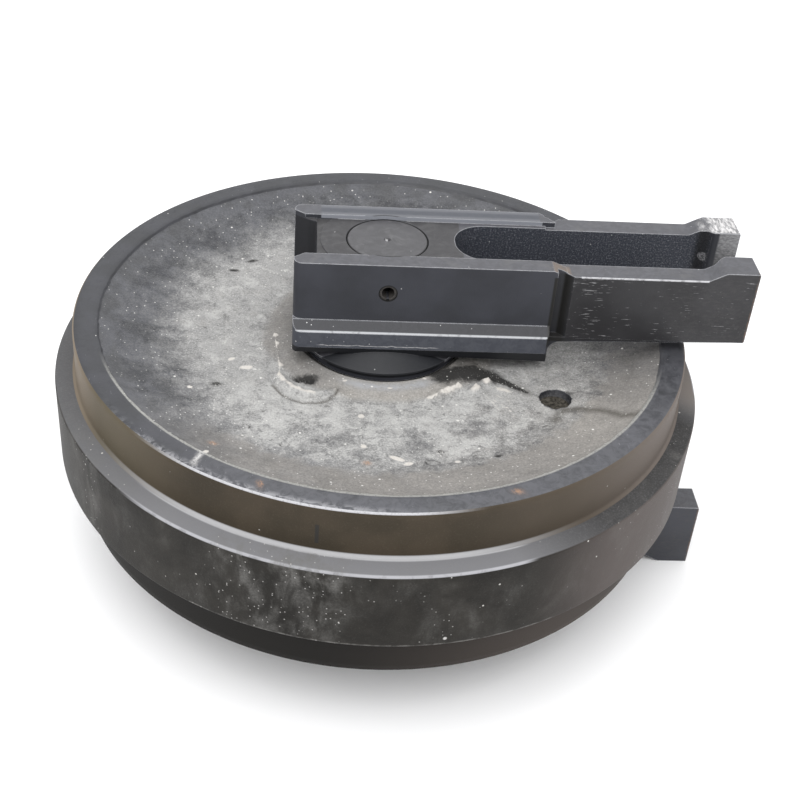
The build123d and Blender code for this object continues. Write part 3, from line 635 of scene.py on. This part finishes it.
def shaft_surface():
    """Shaft end: dark, turned in fine rings, with light dust, a bright centre and painted shade in the gap
    round it.
    """
    s = Surface("shaft_turned")
    ring_pitch = 1.3 * MM
    spots = s.noise(12, 4, 0.65, 0.5)
    rings = s.calc("SINE", s.times(s.radius(), 2 * math.pi / ring_pitch), 0)
    s.color = s.mottle(spots, 0.35, 0.7, (0.053, 0.052, 0.056, 1), (0.068, 0.067, 0.072, 1))
    s.lay(s.specks(10, 0.6, 0.2), (0.4, 0.4, 0.4, 1))
    s.lay(s.step(s.noise(20, 4, 0.6, 1.4), 0.5, 0.72, 0.0, 0.45), (0.12, 0.119, 0.123, 1))
    s.lay(s.zone(x=(-1.8, 0.5), y=(-2.2, 2.4), z=(0, None), soft=0.5), (0.45, 0.45, 0.46, 1))
    # painted shade in the gap between the shaft and the block's bore
    s.lay(s.beyond(shaft_radius - 0.6, shaft_radius - 0.3), (0.006, 0.006, 0.006, 1))
    return s.finish(0.45, s.bump(rings, 0.01), specular=0.4)


def rounded(corners):
    """Points of a (radius, height, fillet) outline, each fillet as an arc of short runs."""
    arc_steps = 5
    points = []
    for index, (x, y, fillet) in enumerate(corners):
        here = Vector((x, y))
        if fillet == 0:
            points.append(here)
            continue
        back = (Vector(corners[index - 1][:2]) - here).normalized()
        ahead = (Vector(corners[index + 1][:2]) - here).normalized()
        half = back.angle(ahead) / 2
        middle = here + (back + ahead).normalized() * fillet / math.sin(half)
        start = here + back * fillet / math.tan(half) - middle
        end = here + ahead * fillet / math.tan(half) - middle
        sweep = start.angle_signed(end)
        for step in range(arc_steps + 1):
            angle = -sweep * step / arc_steps
            points.append(middle + Matrix.Rotation(angle, 2) @ start)
    return points


def divided(points, spacing):
    """The same outline with its longer runs divided to about the given spacing."""
    result = [points[0]]
    for start, end in zip(points, points[1:]):
        count = max(1, round((end - start).length / spacing))
        result += [start.lerp(end, step / count) for step in range(1, count + 1)]
    return result


# Cast features of the upper web, in millimetres; a spot has centre (x, y), half widths, turn and height
cast_bead = [(-98, -80), (-94, -89), (-86, -98), (-76, -105), (-66, -107.5), (-55, -106), (-46, -102)]
bead_width = 6.2
bead_height = 5.5
bead_crack = [
    (-104, -92),
    (-95, -107),
    (-85, -114),
    (-75, -118),
    (-64, -118),
    (-54, -115),
    (-46, -107),
    (-43, -100),
]
crack_width = 1.3
crack_depth = 1.2
bead_seam = [(-104, -9), (-102, -27), (-100, -45), (-98, -60), (-98, -78)]
seam_width = 1.2
seam_height = 0.9
cast_hollow = (-73, -79, 13, 6, -0.15, -7.0)
cast_mounds = [
    (59, -94, 12, 5, 0.55, 4.5),
    (70, -88, 6, 3.5, 0.9, 3.0),
    (44, -104, 9, 3, 0.5, 2.0),
    (86, -91, 7, 5, 0.9, 5.0),
    (97, -80, 6, 5, 0.2, 5.5),
    (112, -92, 10, 4, -0.5, 2.0),
]
seam_drops = [(-103, -11, 3.2, 4.2, 0, 2.6), (-101, -25, 2.4, 3.4, 0, 1.8), (-97, -60, 3.2, 3.6, 0, 2.4)]


def ellipse(x, y, spot):
    """A smooth hill: 1 at the spot's centre, falling to 0 over its two half widths."""
    centre_x, centre_y, length, width, turn = spot[:5]
    across, along = x - centre_x, y - centre_y
    u = (across * math.cos(turn) + along * math.sin(turn)) / length
    v = (-across * math.sin(turn) + along * math.cos(turn)) / width
    return np.exp(-(u * u + v * v))


def distance_to_path(x, y, path):
    """Distance of each point from a path of straight runs."""
    nearest = np.full(x.shape, 1e9)
    for (ax, ay), (bx, by) in zip(path, path[1:]):
        length_squared = (bx - ax) ** 2 + (by - ay) ** 2
        t = np.clip(((x - ax) * (bx - ax) + (y - ay) * (by - ay)) / length_squared, 0, 1)
        nearest = np.minimum(nearest, np.hypot(x - ax - t * (bx - ax), y - ay - t * (by - ay)))
    return nearest


def soft_step(value, low, high):
    t = np.clip((value - low) / (high - low), 0, 1)
    return t * t * (3 - 2 * t)


def noise_at(x, y, z, size, octaves=4):
    """Fractal noise of about -1 to 1 at each point."""
    points = np.stack([x, y, z], -1).reshape(-1, 3) / size
    values = [noise.fractal(point, 1.0, 2.0, octaves) for point in points.tolist()]
    return np.array(values).reshape(x.shape)


def wheel_outline():
    """The upper half of the wheel's outer outline, from the bore to the flange, in five zones."""
    step_width, step_depth = cast_step
    bevel_width, bevel_depth = cast_step_bevel
    hub = rounded(
        [
            (hub_bore_radius, 0, 0),
            (hub_bore_radius, bushing_seat_height, 0),
            (seal_seat_radius, bushing_seat_height, 0),
            (seal_seat_radius, labyrinth_floor, 0),
            (labyrinth_radius, labyrinth_floor, 0),
            (labyrinth_radius, hub_top - labyrinth_chamfer, 0),
            (labyrinth_radius + labyrinth_chamfer, hub_top, 0),
        ]
    )
    web = rounded(
        [
            (labyrinth_radius + labyrinth_chamfer, hub_top, 0),
            (hub_ring_radius, hub_top, hub_ring_fillet),
            (web_foot_radius, web_foot_height, web_foot_fillet),
            (web_bend_radius, web_bend_height, web_bend_fillet),
            (web_shoulder_radius, web_shoulder_height, web_shoulder_fillet),
            (rim_inner_radius - step_width, wheel_half_width - step_depth, 0),
        ]
    )
    rim = [
        Vector((rim_inner_radius - step_width, wheel_half_width - step_depth)),
        Vector((rim_inner_radius - bevel_width, wheel_half_width - bevel_depth)),
        Vector((rim_inner_radius, wheel_half_width)),
        Vector((tread_radius - outer_chamfer, wheel_half_width)),
    ]
    sides = rounded(
        [
            (tread_radius - outer_chamfer, wheel_half_width, 0),
            (tread_radius, wheel_half_width - outer_chamfer, 0),
            (tread_radius, slope_inner_height, tread_fillet),
            (flange_radius, slope_outer_height, flange_fillet),
            (flange_radius, 0, 0),
        ]
    )
    tread_points = 8  # the chamfer's two and the fillet's six
    return hub, web, rim, sides[:tread_points], sides[tread_points:]


def half_outline(web_spacing):
    """The half outline in short runs, and the material slot of each run: hub and web share the first."""
    hub, web, rim, tread, flange = wheel_outline()
    web = divided(web, web_spacing)
    rim = divided(rim, rim_spacing)
    tread = divided(tread, side_spacing)
    flange = divided(flange, side_spacing)
    points = [hub[0]]
    slots = []
    for slot, zone in ((0, hub), (0, web), (1, rim), (2, tread), (3, flange)):
        run = [p for p in zone if (p - points[-1]).length > 0.02]
        points += run
        slots += [slot] * len(run)
    return points, slots


def cast_relief(x, y, radius, height):
    """How far the casting's edge is ragged inward, and how far the web stands out or in, at each point."""
    rough = noise_at(x, y, height, 24)
    grain = noise_at(x, y, height, 6, 3)
    knobbly = noise_at(x, y, height, 4.5, 3)
    on_web = soft_step(radius, 98, 106) * (np.abs(height) > web_foot_height - 3)
    on_web = on_web * (1 - soft_step(radius, rim_inner_radius - 4, rim_inner_radius - 1.7))
    lift = on_web * (0.55 * rough + 0.3 * grain)
    ragged = (np.abs(radius - rim_inner_radius + 1) < 1.3) & (np.abs(height) > wheel_half_width - 3)
    inward = ragged * np.clip(0.4 + 0.8 * grain + 0.4 * rough, 0, 1.4)

    bead = np.exp(-((distance_to_path(x, y, cast_bead) / bead_width) ** 2)) * bead_height
    crack = np.exp(-((distance_to_path(x, y, bead_crack) / crack_width) ** 2)) * crack_depth
    seam = np.exp(-((distance_to_path(x, y, bead_seam) / seam_width) ** 2)) * seam_height
    features = bead * (1 + 0.2 * knobbly) - crack + seam
    for spot in [cast_hollow, *cast_mounds, *seam_drops]:
        features = features + ellipse(x, y, spot) * spot[5] * (1 + 0.7 * knobbly)
    near_hub = soft_step(radius, 100, 107) * (1 - soft_step(radius, 240, 260))
    return inward, lift + features * near_hub * (height > 0)


def build_wheel():
    """The cast wheel: a turned surface with rough web, lumps and hollows, and its painted masks."""
    upper, upper_slots = half_outline(upper_web_spacing)
    lower, lower_slots = half_outline(lower_web_spacing)
    lower = [Vector((p.x, -p.y)) for p in reversed(lower[:-1])]
    outline = upper + lower[:-1]
    slots = upper_slots + lower_slots[::-1]
    angle = np.arange(segments) * 2 * math.pi / segments
    radius = np.array([p.x for p in outline])[:, None] + np.zeros((1, segments))
    height = np.array([p.y for p in outline])[:, None] + np.zeros((1, segments))
    inward, lift = cast_relief(radius * np.cos(angle), radius * np.sin(angle), radius, height)
    radius = radius - inward
    height = height + np.sign(height) * lift
    places = np.stack([radius * np.cos(angle), radius * np.sin(angle), height], -1).reshape(-1, 3)

    ring = np.arange(segments)
    ahead = (ring + 1) % segments
    faces = []
    slot_of_face = []
    for row in range(len(outline)):
        here = row * segments
        following = (row + 1) % len(outline) * segments
        faces.append(np.stack([here + ring, here + ahead, following + ahead, following + ring], -1))
        slot_of_face += [slots[min(row, len(slots) - 1)]] * segments

    mesh = bpy.data.meshes.new("wheel_casting")
    mesh.from_pydata((places * MM).tolist(), [], np.concatenate(faces).tolist())
    paint_masks(mesh, places)
    wheel = bpy.data.objects.new("wheel_casting", mesh)
    bpy.context.collection.objects.link(wheel)
    for surface in (web_surface(), rim_surface(), tread_surface(), flange_surface()):
        mesh.materials.append(surface)
    mesh.polygons.foreach_set("material_index", slot_of_face)
    mesh.polygons.foreach_set("use_smooth", [True] * len(mesh.polygons))
    mesh.update()
    return wheel


# Places of the painted masks on the upper web and rim: centre (x, y), half widths and turn, in millimetres
white_spots = [
    (-129, -65, 7, 3, 0.1),
    (-144, -53, 4, 2.5, 0.6),
    (-179, -103, 3, 2.5, 0),
    (6, -199, 9, 3, -0.5),
    (16, -207, 5, 2.5, 0.3),
    (-23, -136, 3.5, 3.5, 0),
    (-22, -182, 3, 3, 0),
    (-37, -84, 2.6, 1.5, 0.5),
    (5, -94, 3.0, 1.3, 0),
    (38, -77, 2.6, 1.5, -0.5),
    (59, -203, 2.5, 2, 0),
]
rust_spots = [
    (-110, -262, 1.8, 3.6, 0.2),
    (103, -265, 4.0, 2.2, 0),
    (-20, -207, 3, 3, 0),
    (-152, -196, 3.5, 2.5, 0),
]
dark_spots = [
    (45, -188, 3.6, 2.6, 0),
    (95, -195, 4.5, 2.4, 0.1),
    (-155, -95, 7, 4, 0),
    (-149, 105, 6, 3, 0),
    (-130, 126, 7, 3, 0.4),
]
dark_patches = [
    (28, -176, 22, 14, 0.2),
    (-9, -148, 8, 4, 0),
    (-25, -193, 9, 5, 0),
    (85, -150, 30, 14, 0.3),
    (-60, -165, 26, 12, -0.3),
]
core_hole_smudge = (171, -97, 8, 4, 0)

# Burst bubbles in the casting: centre (x, y) and half widths
bubble_rings = [
    (37, -205, 6, 4),
    (59, -203, 5, 3),
    (78, -196, 5, 3),
    (146, -151, 5, 3.5),
    (47, -137, 3.5, 2.5),
    (-127, -159, 5, 3),
    (-91, -184, 4.5, 3.5),
]

# Paths on the upper web and rim
# band of painted shade between the hub ring and the block
shade_wedge = [(56, -72), (72, -66), (88, -64), (100, -70)]
oil_track = [(103, -70), (111, -75), (118, -81), (126, -88), (134, -95)]
dirt_track = [(153, -141), (158, -130), (164, -124), (179, -123), (199, -132), (212, -145), (226, -151)]
scrape = [(-156, -214), (-161, -226), (-166, -238)]
scratch_arcs = [
    [(101, -107), (107, -112), (110, -120)],
    [(104, -99), (113, -105), (118, -116)],
    [(112, -118), (116, -128), (117, -138)],
    [(96, -104), (101, -113), (104, -122)],
]

# The heading, in degrees, at which dust reaches the rim, and how pale the flange's slope is at each heading
dusty_heading = -72
slope_lightness = [
    (-180, 0.42),
    (-160, 0.5),
    (-140, 0.78),
    (-128, 1.0),
    (-70, 1.0),
    (-61, 0.5),
    (-52, 0.16),
    (-20, 0.1),
    (-14, 0.5),
    (-8, 1.0),
    (30, 0.8),
    (90, 0.5),
    (180, 0.42),
]


class WheelPoints:
    """The wheel's vertices: places and radius in millimetres, heading in degrees, and two noises."""

    def __init__(self, places):
        self.x, self.y, self.z = places.T
        self.radius = np.hypot(self.x, self.y)
        self.heading = np.degrees(np.arctan2(self.y, self.x))
        self.top = self.z > 60
        self.web = self.top & (self.radius < rim_inner_radius)
        self.blotch = noise_at(self.x, self.y, self.z, 55, 3)
        self.fine = noise_at(self.x, self.y, self.z, 12, 3)

    def along(self, path, width):
        """1 on a path, falling to 0 over its width."""
        return np.exp(-((distance_to_path(self.x, self.y, path) / width) ** 2))

    def at(self, spot):
        return ellipse(self.x, self.y, spot)


def strongest(*masks):
    return np.maximum.reduce(masks)


def dust_masks(p):
    """Dust on the paint: how thick, how warm, how smooth and how bright it is, with painted shade near the
    hub on the block's left side.
    """
    from_dusty = np.abs((p.heading - dusty_heading + 180) % 360 - 180)
    at_rim = 0.12 + 0.42 * (1 - soft_step(from_dusty + 8 * p.blotch, 30, 80))
    outward = soft_step(p.radius + 12 * p.blotch + 5 * p.fine, 165, 240)
    dust_and_shade = np.where(p.top, 1 - outward * (1 - at_rim), 0.35 + 0.2 * p.blotch)
    rim_band = soft_step(p.radius + 6 * p.fine, 214, 234) * (1 - soft_step(from_dusty, 52, 78))
    right_side = soft_step(p.heading, -66, -38) * (1 - soft_step(p.heading, -24, -14))
    dust_and_shade = dust_and_shade + (0.12 * rim_band + 0.16 * right_side * soft_step(p.radius, 150, 220)) * p.web
    hub_band = (1 - soft_step(p.radius + 4 * p.blotch, 108, 120)) * p.web
    # painted shade: the dust near the hub is darkened on the block's left side
    full_turn = p.heading % 360
    block_shade_side = soft_step(full_turn, 110, 160) * (1 - soft_step(full_turn, 225, 255))
    dust_and_shade = dust_and_shade * (1 - 0.35 * hub_band * block_shade_side)
    bright = (1 - soft_step(np.abs(p.heading + 90), 30, 68)) * p.top
    bright = bright * soft_step(p.radius, 108, 122) * (1 - soft_step(p.radius, 190, 232))
    for spot in dark_patches:
        patch = p.at(spot) * np.clip(0.8 + 0.6 * p.fine, 0.2, 1.4)
        dust_and_shade = dust_and_shade - 0.5 * patch * p.web
        bright = bright * (1 - np.clip(patch, 0, 1))
    return {
        "dust_and_shade": dust_and_shade,
        "warm": 0.85 * rim_band + 0.8 * hub_band + 0.45 * soft_step(p.x - p.y, 150, 330) + 0.2 * p.fine,
        "smooth": (rim_band + hub_band + soft_step(p.radius, 250, 262)) * p.top,
        "bright": bright,
    }


def dirt_mask(p):
    """Brown dirt in the bead's crack, along the track from the core hole and round the oil."""
    return p.web * strongest(
        0.85 * p.along(bead_crack, 1.2),
        0.75 * p.along(dirt_track, 5.5 + 1.5 * p.fine),
        0.6 * p.along(oil_track[2:], 5.0),
    )


def soot_and_shade_mask(p):
    """Black spots, burst bubbles, the hollow, the oily track that narrows away from the hub, and painted
    shade in the wedge between the hub ring and the block.
    """
    bubbles = []
    for centre_x, centre_y, length, width in bubble_rings:
        from_ring = np.abs(np.hypot((p.x - centre_x) / length, (p.y - centre_y) / width) - 1)
        bubbles.append(0.5 * np.exp(-((from_ring / 0.25) ** 2)))
    track_width = np.clip(7.5 - 0.19 * (p.x - oil_track[0][0]), 1.3, 8)
    return p.web * strongest(
        *bubbles,
        *[0.7 * p.at(spot) for spot in dark_spots],
        # painted shade between the hub ring and the block
        0.85 * p.along(shade_wedge, 14),
        0.9 * p.along(oil_track, track_width),
        0.9 * p.at(cast_hollow),
        0.6 * p.at(core_hole_smudge),
    )


def white_mask(p):
    """White deposit on the web and rim, and cloudy patches on the near side of the flange."""
    deposit = p.top * strongest(
        *[p.at(spot) for spot in white_spots],
        *[0.75 * p.at(spot) for spot in cast_mounds],
        *[0.8 * p.at(spot) for spot in seam_drops],
        *[0.55 * p.along(arc, 1.2) for arc in scratch_arcs],
        0.55 * p.along(cast_bead[:5], 4.0),
        0.5 * p.along(bead_seam, 1.4),
        p.along(scrape, 2.0),
    )
    on_flange = (p.radius > tread_radius + 2) & (np.abs(p.z) < slope_inner_height + 1.4)
    patch = soft_step(p.x, -165, -120) * (1 - soft_step(p.x, -62, -25))
    patch = patch + 0.8 * np.exp(-(((p.x + 262) / 8) ** 2)) + 0.8 * np.exp(-(((p.x - 272) / 9) ** 2))
    cloudy = np.clip(0.08 + 0.8 * patch + 0.35 * p.blotch, 0, 1) * (1 - soft_step(p.y, -40, 40))
    return np.maximum(deposit, on_flange * cloudy)


def paint_masks(mesh, places):
    """Stores the masks of the wheel's finish, a value from 0 to 1 for each vertex."""
    p = WheelPoints(places)
    # painted sheen on the front of the hub ring, standing in for a reflection
    hub_sheen = np.exp(-(((p.radius - 93) / 5.5) ** 2)) * (1 - soft_step(np.abs(p.heading + 88), 18, 34))
    masks = {
        **dust_masks(p),
        "sheen": hub_sheen * p.top,
        "dirt": dirt_mask(p),
        "soot_and_shade": soot_and_shade_mask(p),
        "white": white_mask(p),
        "rust": strongest(*[p.at(spot) for spot in rust_spots]) * p.top,
        "slope_light": np.interp(p.heading, *zip(*slope_lightness)),
        "slope_warm": soft_step(p.heading, -18, -9) * (1 - soft_step(p.heading, 60, 110)),
    }
    for name, values in masks.items():
        layer = mesh.attributes.new(name, "FLOAT", "POINT")
        layer.data.foreach_set("value", np.clip(values, 0, 1).astype(np.float32))


def cut_core_holes(wheel):
    """Opens the core hole in each web, a little ragged, down past the top of its plug."""
    cutter_height = 60
    ragged_share = 0.09
    ragged_scale = 150
    for flip in (1, -1):
        mesh = bpy.data.meshes.new("core_cutter")
        shape = bmesh.new()
        bmesh.ops.create_cone(
            shape,
            cap_ends=True,
            segments=72,
            radius1=core_hole_radius * MM,
            radius2=core_hole_radius * MM,
            depth=cutter_height * MM,
        )
        for vertex in shape.verts:
            wave = noise.fractal(Vector((vertex.co.x, vertex.co.y, 0)) * ragged_scale, 1.0, 2.0, 3)
            vertex.co.xy = vertex.co.xy * (1 + ragged_share * wave)
        shape.to_mesh(mesh)
        shape.free()
        cutter = bpy.data.objects.new("core_cutter", mesh)
        bpy.context.collection.objects.link(cutter)
        centre_height = flip * (web_bend_height - core_hole_depth + cutter_height / 2)
        cutter.location = (core_hole_centre[0] * MM, flip * core_hole_centre[1] * MM, centre_height * MM)
        cut = wheel.modifiers.new("core_hole", "BOOLEAN")
        cut.operation = "DIFFERENCE"
        cut.solver = "EXACT"
        cut.object = cutter
        bpy.context.view_layer.objects.active = wheel
        bpy.context.view_layer.update()
        with bpy.context.temp_override(object=wheel, active_object=wheel):
            bpy.ops.object.modifier_apply(modifier=cut.name)
        bpy.data.objects.remove(cutter)


def give(node_name, material):
    """Gives a carried-over CAD node its finish."""
    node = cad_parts[node_name]
    node.data.materials.clear()
    node.data.materials.append(material)


# Wheel
wheel = build_wheel()
cut_core_holes(wheel)
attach(wheel, "wheel")
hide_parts("idler_wheel")

# Finishes of the CAD nodes
block = block_surface()
pin = plain_metal("pin_dark", (0.055, 0.05, 0.047, 1), 0.5, 0.0)
plug = plain_metal("plug_dull", (0.2, 0.195, 0.19, 1), 0.55)
copper = plain_metal("copper", (0.6, 0.3, 0.18, 1), 0.35)
bronze = plain_metal("bronze", (0.5, 0.36, 0.18, 1), 0.35)
lapped = plain_metal("seal_steel", (0.5, 0.5, 0.51, 1), 0.25)
rubber = plain_metal("seal_rubber", (0.02, 0.02, 0.02, 1), 0.7, 0.0)
finishes = {
    "bearing_block": block,
    "lock_pin": pin,
    "core_plug": core_dirt(),
    "bushing": bronze,
    "rotating_seal_ring": lapped,
    "fixed_seal_ring": lapped,
    "rotating_toric": rubber,
    "fixed_toric": rubber,
    "o_ring": rubber,
}
for kind, material in finishes.items():
    for end in ("upper", "lower"):
        give(f"{end}_{kind}", material)
give("shaft", shaft_surface())
give("oil_plug", plug)
give("oil_plug_washer", copper)

# Camera at the photograph's angle: its focal length in pixels of an 800 pixel wide image, and its place
focal_length_px = 1345.05
image_width_px = 800
sensor_width = 36.0
yaw = math.radians(-4.5)
camera_place = Vector((0, -1104.98, 805.69)) * MM
camera_right = Vector((0.99720, 0.02877, 0.06895))
camera_up = Vector((-0.07253, 0.59431, 0.80096))
camera_data = bpy.data.cameras.new("camera")
camera_data.sensor_width = sensor_width
camera_data.lens = focal_length_px * sensor_width / image_width_px
camera_data.clip_start = 0.05
camera = bpy.data.objects.new("camera", camera_data)
bpy.context.collection.objects.link(camera)
bpy.context.scene.camera = camera
axes = Matrix((camera_right, camera_up, camera_right.cross(camera_up))).transposed().to_4x4()
camera.matrix_world = Matrix.Rotation(yaw, 4, "Z") @ Matrix.Translation(camera_place) @ axes

# Pale floor
floor_half = 8.0
floor_signs = ((-1, -1), (1, -1), (1, 1), (-1, 1))
floor_corners = [(x * floor_half, y * floor_half, floor_height) for x, y in floor_signs]
floor_mesh = bpy.data.meshes.new("floor")
floor_mesh.from_pydata(floor_corners, [], [(0, 1, 2, 3)])
floor = bpy.data.objects.new("floor", floor_mesh)
bpy.context.collection.objects.link(floor)
floor_surface = Surface("floor_pale")
floor_surface.color = (0.93, 0.93, 0.935, 1)
floor_mesh.materials.append(floor_surface.finish(0.9))


def softbox(name, place, size, power, color=(1, 1, 1)):
    """A rectangular area light aimed at the part's origin."""
    data = bpy.data.lights.new(name, "AREA")
    data.shape = "RECTANGLE"
    data.size, data.size_y = size
    data.energy = power
    data.color = color
    lamp = bpy.data.objects.new(name, data)
    lamp.location = place
    lamp.rotation_euler = (-Vector(place)).to_track_quat("-Z", "Y").to_euler()
    bpy.context.collection.objects.link(lamp)


softbox("sky_back", (0.35, 2.7, 2.05), (4.2, 2.2), 16, color=(0.95, 0.97, 1))
softbox("sky_top", (-0.3, 0.3, 3.2), (3.0, 3.0), 30)
softbox("front_high", (-0.3, -1.9, 2.9), (3.2, 2.2), 94)
world = bpy.data.worlds.new("studio")
world.use_nodes = True
background = world.node_tree.nodes["Background"]
background.inputs["Color"].default_value = (1, 1, 1, 1)
background.inputs["Strength"].default_value = 0.9
bpy.context.scene.world = world
bpy.context.scene.view_settings.view_transform = "Standard"
